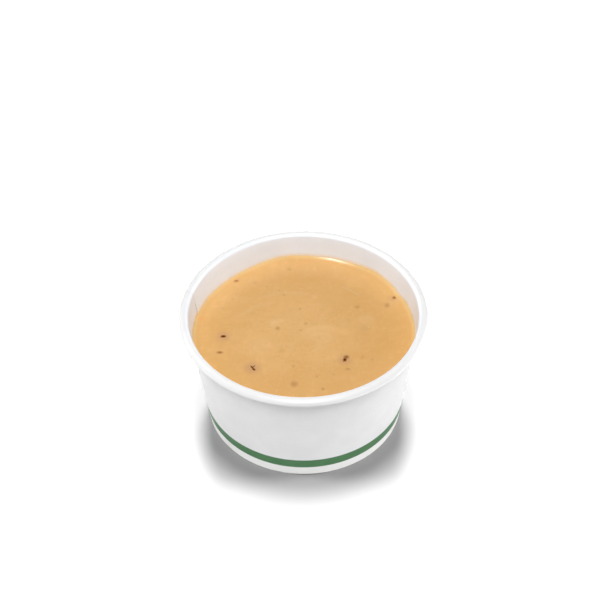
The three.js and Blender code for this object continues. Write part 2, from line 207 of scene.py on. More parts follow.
class PaperLines:
    """Where the paper runs, as (radius, height), worked out from the settings."""

    def __init__(self, paper):
        self.paper = paper
        self.thickness = paper.thickness
        self.slant = math.hypot(1, paper.taper)
        self.lean = math.atan(paper.taper)
        self.roll_middle = Vector((
            paper.rim_radius - paper.thickness / 2 - paper.roll_width,
            paper.height - paper.thickness / 2 - paper.roll_height,
        ))
        self.roll_start = ROLL_INNERMOST - math.atan(paper.taper * paper.roll_height / paper.roll_width)
        self.wall_top = self.roll_point(self.roll_start)

    def roll_point(self, angle):
        """A point of the rolled rim's centreline."""
        tuck = self.paper.roll_tuck * smoothstep(-angle, -ROLL_TUCK_FROM, -ROLL_TUCK_TO)
        return self.roll_middle + Vector((
            (self.paper.roll_width - tuck) * math.cos(angle),
            (self.paper.roll_height - tuck) * math.sin(angle),
        ))

    def wall_radius(self, height):
        """Radius of the wall's centreline at a height."""
        return self.wall_top.x - self.paper.taper * (self.wall_top.y - height)

    def layer_radius(self, height, layers_in):
        """Radius, at a height, of the centreline of a layer some papers and gaps inside the wall."""
        return self.wall_radius(height) - layers_in * (self.thickness + self.paper.gap) * self.slant

    def face_radius(self, height):
        """Radius of the wall's food side at a height."""
        return self.wall_radius(height) - self.thickness / 2 * self.slant

    def fold(self, centre_radius, start, end, nested, side):
        """Points of one of the two folds under the foot, or of the ply that is nested so deep in it."""
        radius = self.paper.fold_radius
        tight = max(radius - nested, TIGHTEST_FOLD)
        middle = Vector((centre_radius, self.thickness / 2 + radius))
        middle += (tight - radius + nested) * Vector((side, 1))
        angles = [start + (end - start) * i / FOLD_STEPS for i in range(FOLD_STEPS + 1)]
        return [middle + tight * Vector((math.cos(a), math.sin(a))) for a in angles]

    def flap_rows(self):
        """Rows of the flap that is folded in, from its edge down: the ribs end between close rows."""
        top, bottom = RIB_HEIGHTS
        heights = (self.paper.flap_top, top + RIB_RUNOUT, top, bottom, bottom - RIB_RUNOUT)
        return [Vector((self.layer_radius(height, 2), height)) for height in heights]

    def foot_rows(self, nested=0):
        """Rows of the two folds that the bowl stands on."""
        level = self.thickness / 2 + self.paper.fold_radius
        inner = self.layer_radius(level, 2) + self.paper.fold_radius * self.slant
        outer = self.wall_radius(level) - self.paper.fold_radius * self.slant
        quarter = math.pi / 2
        return (
            self.fold(inner, 2 * quarter - self.lean, 3 * quarter, nested, 1)
            + self.fold(outer, 3 * quarter, 4 * quarter - self.lean, nested, -1)
        )

    def wall_rows(self):
        """Rows of the leaning wall, among them the edges of the printed band."""
        fixed = [
            STEP_GROWS[1] / 2, STEP_GROWS[1], self.paper.band_bottom, self.paper.band_top, self.wall_top.y
        ]
        heights = []
        for low, high in zip(fixed, fixed[1:]):
            steps = math.ceil((high - low) / WALL_ROW)
            heights += [low + (high - low) * i / steps for i in range(steps)]
        return [Vector((self.wall_radius(height), height)) for height in heights]

    def roll_rows(self):
        """Rows of the rolled rim, from the top of the wall to the roll's hidden end."""
        return [self.roll_point(angle) for angle in self.roll_angles()]

    def roll_angles(self):
        """Angles of the rolled rim's rows."""
        sweep = ROLL_END - self.roll_start
        return [self.roll_start + sweep * i / ROLL_STEPS for i in range(ROLL_STEPS + 1)]

    def rows(self):
        """All rows of the sheet, from the flap's edge to the roll's hidden end."""
        return self.flap_rows() + self.foot_rows() + self.wall_rows() + self.roll_rows()

    def pressed(self):
        """How far the lap is pressed thin in each row: 0 in the foot and most of the wall, 1 on the roll."""
        deep, shallow = (self.paper.height - depth for depth in LAP_THINS)
        wall = [smoothstep(row.y, deep, shallow) for row in self.wall_rows()]
        return [0] * len(self.flap_rows() + self.foot_rows()) + wall + [1] * len(self.roll_rows())

    def ply_shares(self, inner):
        """Share of the paper's thickness that the lap's inner or outer ply keeps in each row."""
        kept = LAP_PRESSED[0 if inner else 1]
        return [1 + (kept - 1) * pressed for pressed in self.pressed()]

    def ply_rows(self, inner):
        """The same rows where the lap's inner or outer ply lies on the other one."""
        ply = self.thickness + PLY_CLEARANCE
        half = self.thickness / 2
        flap = [ply / 2] * len(self.flap_rows())
        foot = [ply] * len(self.foot_rows())
        wall = [ply + (half - ply) * smoothstep(row.y, *STEP_GROWS) for row in self.wall_rows()]
        rises = flap + foot + wall + [half] * len(self.roll_rows())
        rows = self.rows()
        placed = []
        for i, (row, rise, pressed) in enumerate(zip(rows, rises, self.pressed())):
            along = rows[min(i + 1, len(rows) - 1)] - rows[max(i - 1, 0)]
            to_food_side = Vector((-along.y, along.x)).normalized()
            thick = rise if inner else rise - ply
            thin = half * (1 - LAP_PRESSED[0])
            if not inner:
                thin = half * (1 - LAP_PRESSED[1] - 2 * LAP_PRESSED[0]) - PLY_CLEARANCE
            placed.append(row + to_food_side * (thick + (thin - thick) * pressed))
        if inner:
            start = len(flap)
            placed[start:start + len(foot)] = self.foot_rows(nested=ply)
        return placed


# ---------------------------------------------------------------- modelling helpers

RING_NEAR = 0.02 * MM  # how far a vertex may lie from the ring that it is taken for
SAME_PLACE = 0.001 * MM  # vertices nearer than this are merged


def start_piece():
    """Leaves edit mode and deselects everything, so that an operator acts on the new piece alone."""
    if bpy.context.object and bpy.context.object.mode != "OBJECT":
        bpy.ops.object.mode_set(mode="OBJECT")
    bpy.ops.object.select_all(action="DESELECT")


def edit(piece):
    """The piece's mesh in edit mode."""
    mesh = bmesh.from_edit_mesh(piece.data)
    mesh.verts.ensure_lookup_table()
    mesh.faces.ensure_lookup_table()
    return mesh


def select_vertices(piece, wanted):
    """Selects these vertices, given by number, and nothing else."""
    bpy.ops.mesh.select_mode(type="VERT")
    bpy.ops.mesh.select_all(action="DESELECT")
    mesh = edit(piece)
    for number in wanted:
        mesh.verts[number].select = True
    mesh.select_flush_mode()
    bmesh.update_edit_mesh(piece.data)


def select_faces(piece, test):
    """Selects the faces for which the test holds, and nothing else."""
    bpy.ops.mesh.select_mode(type="FACE")
    bpy.ops.mesh.select_all(action="DESELECT")
    mesh = edit(piece)
    for face in mesh.faces:
        face.select = test(face)
    mesh.select_flush_mode()
    bmesh.update_edit_mesh(piece.data)


def select_ring(piece, height, radius):
    """Selects the vertices that lie at a height and a radius, and the edges between them."""
    mesh = edit(piece)
    wanted = [
        v.index for v in mesh.verts
        if abs(v.co.z - height) < RING_NEAR and abs(math.hypot(v.co.x, v.co.y) - radius) < RING_NEAR
    ]
    select_vertices(piece, wanted)


def draw_line(name, rows):
    """A new piece that is a line through the rows' points, drawn in the XZ plane by extruding a point."""
    start_piece()
    first = rows[0]
    bpy.ops.mesh.primitive_plane_add(size=MM, location=(0, 0, 0))
    piece = bpy.context.object
    piece.name = piece.data.name = name
    bpy.ops.object.mode_set(mode="EDIT")
    bpy.ops.mesh.merge(type="CENTER")
    bpy.ops.transform.translate(value=(first.x, 0, first.y))
    for here, there in zip(rows, rows[1:]):
        step = there - here
        bpy.ops.mesh.extrude_region_move(TRANSFORM_OT_translate={"value": (step.x, 0, step.y)})
    return piece


def spin_line(azimuth, sweep, steps):
    """Turns the line to an azimuth and spins it round the Z axis. Both operators turn clockwise."""
    bpy.ops.mesh.select_all(action="SELECT")
    bpy.ops.transform.rotate(value=-azimuth, orient_axis="Z", center_override=(0, 0, 0))
    bpy.ops.mesh.spin(steps=steps, angle=-sweep, center=(0, 0, 0), axis=(0, 0, 1))


def disc(name, sides, radius, height):
    """A new flat disc, in edit mode, with its face selected."""
    start_piece()
    bpy.ops.mesh.primitive_circle_add(
        vertices=sides, radius=radius, fill_type="NGON", location=(0, 0, 0)
    )
    piece = bpy.context.object
    piece.name = piece.data.name = name
    bpy.ops.object.mode_set(mode="EDIT")
    bpy.ops.transform.translate(value=(0, 0, height))
    bpy.ops.mesh.select_mode(type="FACE")
    bpy.ops.mesh.select_all(action="SELECT")
    return piece


def apply_modifier(piece, kind, **settings):
    """Adds a modifier with these settings and applies it."""
    bpy.ops.object.mode_set(mode="OBJECT")
    modifier = piece.modifiers.new(kind.title(), kind)
    for key, value in settings.items():
        setattr(modifier, key, value)
    bpy.ops.object.modifier_apply(modifier=modifier.name)


def finish_piece(piece, node=None, crease=math.radians(35)):
    """Smooths the piece, puts its object at the origin, and ties it to the frame."""
    if piece.mode != "OBJECT":
        bpy.ops.object.mode_set(mode="OBJECT")
    bpy.ops.object.shade_smooth_by_angle(angle=crease)
    bpy.ops.object.transform_apply(location=True, rotation=True, scale=True)
    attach(piece, BODY)
    if node:
        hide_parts(node)
    start_piece()


# ---------------------------------------------------------------- shader maths

SOCKET_NAMES = {"Specular Level": "Specular IOR Level"}


def math_node(operation):
    """The two forms of an operator on wires: wire with value, and value with wire."""
    settings = {"operation": operation}

    def forward(self, other):
        return self.shader.node("ShaderNodeMath", settings, {0: self, 1: other})

    def reflected(self, other):
        return self.shader.node("ShaderNodeMath", settings, {0: other, 1: self})

    return forward, reflected


class Wire:
    """An output socket. Arithmetic on it adds Math nodes."""

    __add__, __radd__ = math_node("ADD")
    __sub__, __rsub__ = math_node("SUBTRACT")
    __mul__, __rmul__ = math_node("MULTIPLY")
    __truediv__, __rtruediv__ = math_node("DIVIDE")
    __pow__, __rpow__ = math_node("POWER")

    def __init__(self, shader, socket):
        self.shader = shader
        self.socket = socket


class Shader:
    """A new material, with one method that adds any node and a few built on it."""

    def __init__(self, name):
        self.material = bpy.data.materials.new(name)
        self.material.use_nodes = True
        self.nodes = self.material.node_tree.nodes
        self.links = self.material.node_tree.links
        self.nodes.clear()
        self.place = self.node("ShaderNodeTexCoord", output="Object")

    def node(self, kind, settings=None, inputs=None, output=0):
        """Adds a node, sets it up, fills its sockets with values or links, and returns an output."""
        made = self.nodes.new(kind)
        for key, value in (settings or {}).items():
            setattr(made, key, value)
        for key, value in (inputs or {}).items():
            if isinstance(value, Wire):
                self.links.new(value.socket, made.inputs[key])
            else:
                made.inputs[key].default_value = value
        return Wire(self, made.outputs[output])

    def rise(self, value, low, high, to_low=0.0, to_high=1.0):
        """to_low below low, to_high above high, and a smooth change between them."""
        return self.node(
            "ShaderNodeMapRange", {"interpolation_type": "SMOOTHSTEP"},
            {"Value": value, "From Min": low, "From Max": high, "To Min": to_low, "To Max": to_high},
        )

    def grain(self, size, detail=2.0, stretch=(1, 1, 1), distortion=0.0):
        """Noise from 0 to 1 whose features are about this size."""
        stretched = self.vector("MULTIPLY", self.place, stretch)
        return self.node(
            "ShaderNodeTexNoise", {"noise_dimensions": "3D"},
            {"Vector": stretched, "Scale": 1 / size, "Detail": detail, "Distortion": distortion},
        )

    def vector(self, operation, first, second=(0, 0, 0), output=0):
        """Vector Math."""
        return self.node(
            "ShaderNodeVectorMath", {"operation": operation}, {0: first, 1: second}, output
        )

    def math(self, operation, *values):
        """Any Math node."""
        return self.node("ShaderNodeMath", {"operation": operation}, dict(enumerate(values)))

    def axis(self, number):
        """One coordinate of the place on the piece: 0, 1 or 2 for X, Y or Z."""
        return self.node("ShaderNodeSeparateXYZ", None, {0: self.place}, output=number)

    def reach(self, centre, scale, place=None):
        """Distance of a place from a point, in units of the scale along each axis."""
        away = self.vector("SUBTRACT", place or self.place, centre)
        return self.vector("LENGTH", self.vector("MULTIPLY", away, scale), output=1)

    def blend(self, factor, first, second):
        """The first colour where the factor is 0, and the second where it is 1."""
        opaque = [value if isinstance(value, Wire) else (*value[:3], 1) for value in (first, second)]
        return self.node(
            "ShaderNodeMix", {"data_type": "RGBA", "clamp_factor": True},
            {0: factor, 6: opaque[0], 7: opaque[1]}, output=2,
        )

    def bump(self, height, distance):
        """A normal bent by a height, which is in units of the distance."""
        inputs = {"Height": height, "Distance": distance}
        return self.node("ShaderNodeBump", None, inputs, output="Normal")

    def finish(self, **surface):
        """The Principled shader with these sockets, as the material's surface."""
        inputs = {key.replace("_", " ").title(): value for key, value in surface.items()}
        inputs = {SOCKET_NAMES.get(key, key): value for key, value in inputs.items()}
        bsdf = self.node("ShaderNodeBsdfPrincipled", None, inputs, output="BSDF")
        output = self.nodes.new("ShaderNodeOutputMaterial")
        self.links.new(bsdf.socket, output.inputs["Surface"])
        return self.material


# ---------------------------------------------------------------- the paper's materials

ROLL_SHADE_RADII = (53.4 * MM, 54.8 * MM)  # from the roll's inner flank to its crest, over which the rolled rim's painted shade comes in
FOOT_PAINTED_LIGHT_FADE = 0.6 * MM  # height in which the board's painted light comes in below the band
BOARD_SHADE = 0.955  # share of its tone that the board has in its darker clouds
INK_SHOWS_BOARD = (1.2, 0.012)  # how the ink is paler where the board shows through: times and plus
PAPER_RELIEF = 0.012 * MM


def board_fibres(shader):
    """Faint fibres that run up the paper."""
    return shader.grain(0.55 * MM, detail=3, stretch=(1, 1, 0.45))


def coated_board(name, tone, roughness, gloss, *zones):
    """White board with faint fibres under its coating. A zone is a function that draws its mask with the
    shader, and the tone that the board has there."""
    shader = Shader(name)
    cloud = shader.grain(9 * MM, detail=3)
    fibres = board_fibres(shader)
    cockle = shader.grain(7 * MM, detail=1.5, stretch=(1, 1, 0.5))
    pits = shader.grain(0.22 * MM, detail=1)
    uneven = shader.rise(cloud * 0.65 + fibres * 0.35, 0.32, 0.7)
    white = shader.blend(uneven, [BOARD_SHADE * value for value in tone], tone)
    for mask, zone_tone in zones:
        white = shader.blend(mask(shader), white, zone_tone)
    return shader.finish(
        base_color=white,
        roughness=shader.rise(fibres, 0.25, 0.75, roughness - 0.05, roughness + 0.07),
        specular_level=gloss,
        normal=shader.bump(cockle * 6 + fibres * 0.5 + pits * 0.25, PAPER_RELIEF),
    )


def on_roll_painted_shade(shader):
    """1 on the rolled rim, 0 on the wall's food side: where painted shade darkens the brightly lit roll."""
    return shader.rise(shader.reach((0, 0, 0), (1, 1, 0)), *ROLL_SHADE_RADII)


def band_ink(tone):
    """Green offset ink on the board: a fine screen, and a little board showing through."""
    shader = Shader("green_band_ink")
    cloud = shader.grain(6 * MM, detail=3)
    speckle = shader.grain(0.3 * MM, detail=2)
    fibres = board_fibres(shader)
    times, plus = INK_SHOWS_BOARD
    uneven = shader.rise(cloud * 0.5 + speckle * 0.5, 0.3, 0.72)
    return shader.finish(
        base_color=shader.blend(uneven, tone, [value * times + plus for value in tone]),
        roughness=shader.rise(speckle, 0.3, 0.7, 0.34, 0.46),
        specular_level=0.5,
        normal=shader.bump(fibres * 0.5 + speckle * 0.3, PAPER_RELIEF),
    )


def raw_edge():
    """The cut edge of the board: bare fibres between the two coatings, darkened further as painted shade in
    the step of the lap.
    """
    shader = Shader("board_cut_edge")
    fibres = shader.grain(0.16 * MM, detail=3, stretch=(1, 1, 0.5))
    return shader.finish(
        base_color=shader.blend(fibres, (0.56, 0.50, 0.43), (0.72, 0.67, 0.60)),
        roughness=0.85,
        specular_level=0.2,
        normal=shader.bump(fibres, 0.03 * MM),
    )


# ---------------------------------------------------------------- the paper's pieces


class BOWL_OT_paper_wall(bpy.types.Operator):
    """Build the wall: one sheet of printed board with its folded foot, lap and rolled rim"""

    bl_idname = "bowl.paper_wall"
    bl_label = "Paper Wall"

    thickness_group = "share_of_thickness"

    def execute(self, context):
        paper = context.scene.bowl_paper
        lines = PaperLines(paper)
        rows = lines.rows()
        piece = draw_line("paper_wall", rows)
        sweep = 2 * math.pi + paper.lap_end - paper.lap_start
        spin_line(paper.lap_start, sweep, paper.columns)
        if len(edit(piece).verts) != len(rows) * (paper.columns + 1):
            raise RuntimeError("the paper wall's rows and columns don't add up")
        self.face_print_outward(piece)
        self.crimp_flap(piece, lines, len(rows))
        self.lap(piece, lines, len(rows))
        self.ink_band(piece, paper)
        self.give_materials(piece, paper)
        self.press_lap(piece, lines, len(rows))
        apply_modifier(
            piece, "SOLIDIFY", thickness=paper.thickness, offset=0, vertex_group=self.thickness_group,
            material_offset=2, material_offset_rim=4,
        )
        finish_piece(piece, "bowl_wall")
        return {"FINISHED"}

    def face_print_outward(self, piece):
        """Makes the sheet's faces point to its printed side."""
        bpy.ops.mesh.select_all(action="SELECT")
        bpy.ops.mesh.normals_make_consistent(inside=False)
        mesh = edit(piece)
        high = max(mesh.faces, key=lambda f: (f.calc_area(), f.index))
        middle = high.calc_center_median()
        if high.normal.dot(Vector((middle.x, middle.y, 0))) < 0:
            bpy.ops.mesh.flip_normals()

    def crimp_flap(self, piece, lines, rows):
        """Presses ribs into the flap, as the crimping wheel leaves them."""
        ribbed = [i for i, row in enumerate(lines.flap_rows()) if row.y in RIB_HEIGHTS]
        columns = range(0, len(edit(piece).verts), rows)
        for side in (0, 1):
            raised = [start + i for start in list(columns)[side::2] for i in ribbed]
            select_vertices(piece, raised)
            bpy.ops.transform.shrink_fatten(value=RIB_DEPTH * (1 if side else -1))

    def lap_columns(self, paper):
        """The sheet's columns in and beside the lap: inner ply or not, number, and how far it is a lap."""
        overlap = paper.lap_end - paper.lap_start
        reach = overlap + paper.lap_fade
        step = (2 * math.pi + overlap) / paper.columns
        for number in range(math.ceil(reach / step)):
            part = 1 - smoothstep(number * step, overlap, reach)
            yield False, number, part
            yield True, paper.columns - number, part

    def lap(self, piece, lines, rows):
        """Parts the two ends of the sheet where they lie on each other."""
        paper = lines.paper
        step = (2 * math.pi + paper.lap_end - paper.lap_start) / paper.columns
        for inner, column, part in self.lap_columns(paper):
            moves = [(ply - row) * part for row, ply in zip(lines.rows(), lines.ply_rows(inner))]
            self.move_column(piece, column * rows, paper.lap_start + column * step, moves)

    def press_lap(self, piece, lines, rows):
        """Weighs every vertex by the share of the paper's thickness that is left there."""
        bpy.ops.object.mode_set(mode="OBJECT")
        group = piece.vertex_groups.new(name=self.thickness_group)
        group.add(range(len(piece.data.vertices)), 1, "REPLACE")
        for inner, column, part in self.lap_columns(lines.paper):
            for row, kept in enumerate(lines.ply_shares(inner)):
                group.add([column * rows + row], 1 + (kept - 1) * part, "REPLACE")

    def move_column(self, piece, first, azimuth, moves):
        """Moves the rows of one column out and up by these distances."""
        mesh = edit(piece)
        out = Vector((math.cos(azimuth), math.sin(azimuth), 0))
        for number, move in enumerate(moves):
            mesh.verts[first + number].co += out * move.x + Vector((0, 0, move.y))
        bmesh.update_edit_mesh(piece.data)

    def ink_band(self, piece, paper):
        """Gives the faces between the band's edges the ink's slot."""
        outer_wall = PaperLines(paper)

        def in_band(face):
            middle = face.calc_center_median()
            on_wall = math.hypot(middle.x, middle.y) > outer_wall.layer_radius(middle.z, 1)
            return on_wall and paper.band_bottom < middle.z < paper.band_top

        select_faces(piece, in_band)
        for face in edit(piece).faces:
            face.material_index = 1 if face.select else 0
        bmesh.update_edit_mesh(piece.data)

    def give_materials(self, piece, paper):
        """Slots: printed side, ink, then food side twice, then cut edge twice, as Solidify numbers them."""
        foot_top = paper.band_bottom

        # below the band the board is painted lighter, as light on the strip that the floor leaves in shade
        def painted_light_below_band(shader):
            return shader.rise(shader.axis(2), foot_top, foot_top - FOOT_PAINTED_LIGHT_FADE)

        film = GravyFilm(paper, bpy.context.scene.bowl_gravy)
        printed = coated_board("board_printed_side", paper.board, 0.5, 0.45, (painted_light_below_band, paper.foot))
        # the rolled rim's darker tone is painted shade over the lining; the film is a gravy stain
        lining = coated_board(
            "board_food_side", paper.lining, 0.36, 0.5, (on_roll_painted_shade, paper.rim), (film.cover, film.tone)
        )
        edge = raw_edge()
        for material in (printed, band_ink(paper.ink), lining, lining, edge, edge):
            piece.data.materials.append(material)


class BOWL_OT_paper_base(bpy.types.Operator):
    """Build the base: a shallow dome of board whose edge is bent down into a skirt inside the foot"""

    bl_idname = "bowl.paper_base"
    bl_label = "Paper Base"

    sides = 180
    crown_rings = 14
    bend_steps = 6
    skirt_bottom = 2.4 * MM

    def execute(self, context):
        paper = context.scene.bowl_paper
        lines = PaperLines(paper)
        flat = paper.base_top - paper.thickness / 2
        middle_height = flat - paper.base_bend
        edge = lines.layer_radius(middle_height, 1) - paper.base_bend * lines.slant
        piece = disc("paper_base", self.sides, edge, flat)
        for _ in range(self.crown_rings):
            bpy.ops.mesh.inset(thickness=edge / (self.crown_rings + 1), depth=0)
        bpy.ops.mesh.poke()
        self.bend_skirt(piece, lines, Vector((edge, middle_height)))
        mesh = edit(piece)
        for vertex in mesh.verts:
            inward = 1 - (math.hypot(vertex.co.x, vertex.co.y) / edge) ** 2
            vertex.co.z += paper.base_crown * max(inward, 0)
        bmesh.update_edit_mesh(piece.data)
        bpy.ops.mesh.select_all(action="SELECT")
        bpy.ops.mesh.remove_doubles(threshold=SAME_PLACE)
        bpy.ops.mesh.normals_make_consistent(inside=False)
        board = coated_board("base_board", paper.board, 0.55, 0.4)
        for material in (board, raw_edge()):
            piece.data.materials.append(material)
        apply_modifier(
            piece, "SOLIDIFY", thickness=paper.thickness, offset=0, use_even_offset=True,
            material_offset_rim=1,
        )
        finish_piece(piece, "bowl_base")
        return {"FINISHED"}

    def bend_skirt(self, piece, lines, middle):
        """Extrudes the disc's edge round the bend and down the skirt, ring by ring."""
        radius = lines.paper.base_bend
        rings = []
        sweep = math.pi / 2 + lines.lean
        for i in range(self.bend_steps + 1):
            angle = math.pi / 2 - sweep * i / self.bend_steps
            rings.append(middle + radius * Vector((math.cos(angle), math.sin(angle))))
        rings.append(Vector((lines.layer_radius(self.skirt_bottom, 1), self.skirt_bottom)))
        select_ring(piece, rings[0].y, rings[0].x)
        for here, there in zip(rings, rings[1:]):
            extrude_ring(here, there)


def extrude_ring(here, there):
    """Extrudes the selected ring from one radius and height to another."""
    bpy.ops.mesh.extrude_region_move(TRANSFORM_OT_translate={"value": (0, 0, there.y - here.y)})
    grow = there.x / here.x
    bpy.ops.transform.resize(value=(grow, grow, 1), center_override=(0, 0, there.y))


# ---------------------------------------------------------------- the gravy's surface

# Swells where the gravy meets the wall: azimuth and width in degrees, rise in millimetres
SWELLS = (
    (137, 33, -1.7),
    (101, 12.5, 1.05),
    (47, 10, 1.0),
    (27, 4, -0.9),
    (222, 24, -0.5),
    (300, 28, 0.45),
)
# Ridges left by pouring, as arcs: middle and radius in millimetres, from and to in degrees, and width and
# rise in millimetres
POUR_RIDGES = (
    (-5, -6, 31.3, 78, 150, 4, 0.3),
    (10.5, -7.5, 11, 35, 140, 3.0, 0.16),
    (-9.5, 0.5, 7.2, 70, 165, 2.2, 0.25),
    (0, 0, 35.3, 38, 62, 2.6, 0.25),
)
RIDGE_FADE = 14  # degrees over which a ridge runs out at its ends


class GravyForm:
    """The gravy's surface and side, in millimetres and degrees, worked out from the settings."""

    def __init__(self, paper, gravy):
        self.lines = PaperLines(paper)
        self.level = gravy.level / MM
        self.meniscus = (gravy.meniscus_rise / MM, gravy.meniscus_reach / MM, gravy.meniscus_power)
        self.swell = (gravy.swell_reach / MM, gravy.swell_power)
        self.grip = gravy.grip / MM
        self.lap = [math.degrees(a) for a in (paper.lap_start, paper.lap_end, paper.lap_fade)]

    def lap_rise(self, azimuth):
        """How far the wall's food side stands in from its usual place near the lap."""
        start, end, fade = self.lap
        half = self.lines.thickness / MM / 2
        beyond = azimuth - end
        if beyond > 0:
            return -half * (1 - smoothstep(beyond, 0, fade))
        return half * (1 - smoothstep(start - azimuth, 0, fade))

    def side_radius(self, azimuth, height):
        """Radius of the gravy's side, which reaches just into the paper."""
        grown = smoothstep(height * MM, *INSIDE_LAP_HEIGHTS)
        rise = self.lap_rise(azimuth) * grown
        return self.lines.face_radius(height * MM) / MM - rise * self.lines.slant + self.grip

    def swell_rise(self, azimuth):
        """How much the swells lift the gravy where it meets the wall."""
        total = 0
        for place, width, rise in SWELLS:
            away = (azimuth - place + 180) % 360 - 180
            total += rise * math.exp(-((away / width) ** 2))
        return total

    def shore(self, azimuth):
        """Height at which the gravy meets the wall."""
        return self.level + self.meniscus[0] + self.swell_rise(azimuth)

    def ridges(self, x, y):
        """Height that the ridges left by pouring add at a point."""
        height = 0
        for middle_x, middle_y, radius, start, end, width, rise in POUR_RIDGES:
            angle = math.degrees(math.atan2(y - middle_y, x - middle_x))
            off = (math.hypot(x - middle_x, y - middle_y) - radius) / width
            within = smoothstep(angle, start - RIDGE_FADE, start + RIDGE_FADE)
            within *= 1 - smoothstep(angle, end - RIDGE_FADE, end + RIDGE_FADE)
            height += rise * within * math.exp(-(off ** 2))
        return height

    def surface(self, radius, azimuth):
        """Height of the gravy's surface at a radius and azimuth."""
        angle = math.radians(azimuth)
        x = radius * math.cos(angle)
        y = radius * math.sin(angle)
        rise, reach, steepness = self.meniscus
        from_wall = max(self.side_radius(azimuth, self.shore(azimuth)) - radius, 0)
        climb = max(1 - from_wall / reach, 0) ** steepness
        swell = self.swell_rise(azimuth) * max(1 - from_wall / self.swell[0], 0) ** self.swell[1]
        return self.level + rise * climb + swell + self.ridges(x, y) * (1 - climb)


class GravyFilm:
    """The thin film that the gravy leaves on the paper just above the line where they meet."""

    reach = 2.2  # millimetres above the gravy at which the film ends
    full_from = -0.2  # and from which it is full, just below the gravy's edge
    strength = 0.8

    def __init__(self, paper, gravy):
        self.form = GravyForm(paper, gravy)
        self.tone = gravy.film

    def cover(self, shader):
        """How much of the paper's own colour the film hides: most at the gravy, none at its reach."""
        azimuth = shader.math("ARCTAN2", shader.axis(1), shader.axis(0)) * math.degrees(1)
        shore = self.form.level + self.form.meniscus[0]
        for place, width, rise in SWELLS:
            away = shader.math("WRAP", azimuth - place, 180, -180) / width
            shore = math.e ** (away * away * -1) * rise + shore
        above = shader.axis(2) / MM - shore
        uneven = shader.rise(shader.grain(2.5 * MM), 0.3, 0.7, 0.75, 1)
        return shader.rise(above, self.reach, self.full_from) * uneven * self.strength


def azimuth_of(point):
    """Azimuth of a point, in degrees from 0 to 360."""
    return math.degrees(math.atan2(point.y, point.x)) % 360


# Colours of the specks that lie just under the surface, and of the darker gravy round a fleck
SUNK_TONES = {
    "brown": (0.36, 0.16, 0.055),
    "grey": (0.48, 0.28, 0.13),
    "olive": (0.54, 0.32, 0.085),
    "halo": (0.52, 0.27, 0.17),
    "rust": (0.78, 0.33, 0.08),
}
# The specks: place and half size in millimetres, strength and tone
SUNK_SPECKS = (
    (25.8, 15.9, 1.3, 0.34, "brown"),
    (-23.6, 34.4, 1.5, 0.24, "grey"),
    (-6.6, 43.3, 1.2, 0.6, "olive"),
    (-12.1, 2.2, 1.2, 0.42, "brown"),
    (-4.7, -33.4, 1.9, 0.42, "brown"),
    (8.2, -36.8, 0.9, 0.42, "brown"),
    (-1.6, 15.2, 0.9, 0.25, "brown"),
    (-5.1, -22.6, 0.7, 0.30, "brown"),
    (5.7, -29.0, 0.6, 0.30, "brown"),
    (-10.1, -12.6, 1.6, 0.28, "olive"),
    (1.1, 5.1, 1.1, 0.26, "brown"),
    (28.4, 1.2, 2.4, 0.17, "grey"),
    (21.1, 7.2, 0.8, 0.16, "brown"),
    (-38.3, 16.7, 0.9, 0.16, "brown"),
    (-33.8, 23.2, 0.9, 0.16, "brown"),
    (-11.5, 28.2, 0.6, 0.22, "brown"),
    (-9.3, 24.9, 0.7, 0.26, "brown"),
    (13.3, -28.0, 0.6, 0.26, "brown"),
    (26.7, -17.4, 0.8, 0.22, "brown"),
    (31.2, -19.0, 0.8, 0.18, "brown"),
    (-1.3, 0.8, 0.8, 0.26, "brown"),
    (-17.4, 30.9, 0.7, 0.16, "brown"),
    (42.6, 21.8, 2.4, 0.30, "grey"),
    (-48.6, 9.8, 2.0, 0.32, "rust"),
)
# Fine pale lines in the gravy's skin along the pouring ridges, partly starch and partly painted light where
# the ridges catch it, as
# stretches of circles: the circle's middle and radius, the stretch's middle and half length, its width, all
# in millimetres, and its strength
SKIN_LINES_AND_RIDGE_LIGHT = (
    (-9.7, 1.4, 6.3, -13.0, 6.8, 4.5, 3.6, 0.14),
    (8.1, -7.4, 10.0, 6.7, 2.5, 9.0, 3.6, 0.13),
    (8.2, -7.9, 6.0, 8.5, -2.0, 5.8, 2.5, 0.07),
    (-4.6, -13.8, 35.1, -23.5, 15.9, 10.7, 3.6, 0.10),
    (-6.0, -4.7, 31.1, -7.7, 26.3, 14.4, 3.1, 0.10),
    (5.2, 4.5, 28.9, 23.6, 26.7, 5.5, 2.2, 0.14),
    (7.2, 14.8, 3.2, 7.0, 18.0, 3.1, 2.2, 0.09),
    (29.2, 4.1, 4.8, 29.5, 8.9, 4.7, 3.4, 0.09),
)
# Soft pale patches: place and half size in millimetres, and strength
PALE_PATCHES = (
    (7.6, -3.3, 9.0, 0.1),
    (29.9, 6.9, 6.0, 0.1),
    (-20.3, -9.2, 7.0, 0.1),
    (-13.9, 5.8, 4.0, 0.12),
    (-8.7, 26.4, 1.6, 0.15),
    (5.5, 23.2, 1.8, 0.2),
    (15.9, 43.8, 6.0, 0.08),
)
# pale tone of the gravy's skin, also used as painted light along the ridges
SKIN_AND_PAINTED_LIGHT_TONE = (0.88, 0.64, 0.36)
LIGHT_DOT = (30.5, 2.2, 0.45, 0.6)  # a pale crumb: place and half size in millimetres, and strength
HALO = (1.8, 0.42)  # darker gravy round a fleck: its reach in half lengths of the fleck, and its strength
# Shares of a mark's half size: it is nothing beyond the first, and full within the second
PATCH_EDGE = (1, 0.2)
SPECK_EDGE = (1.5, 0.2)
WRINKLE_END = (1.2, 0.5)
DOT_EDGE = (1, 0.4)
EDGE_BEND = 0.7 * MM  # how far the edges of specks, patches and wrinkles wander
BEND_SIZE = 0.9 * MM
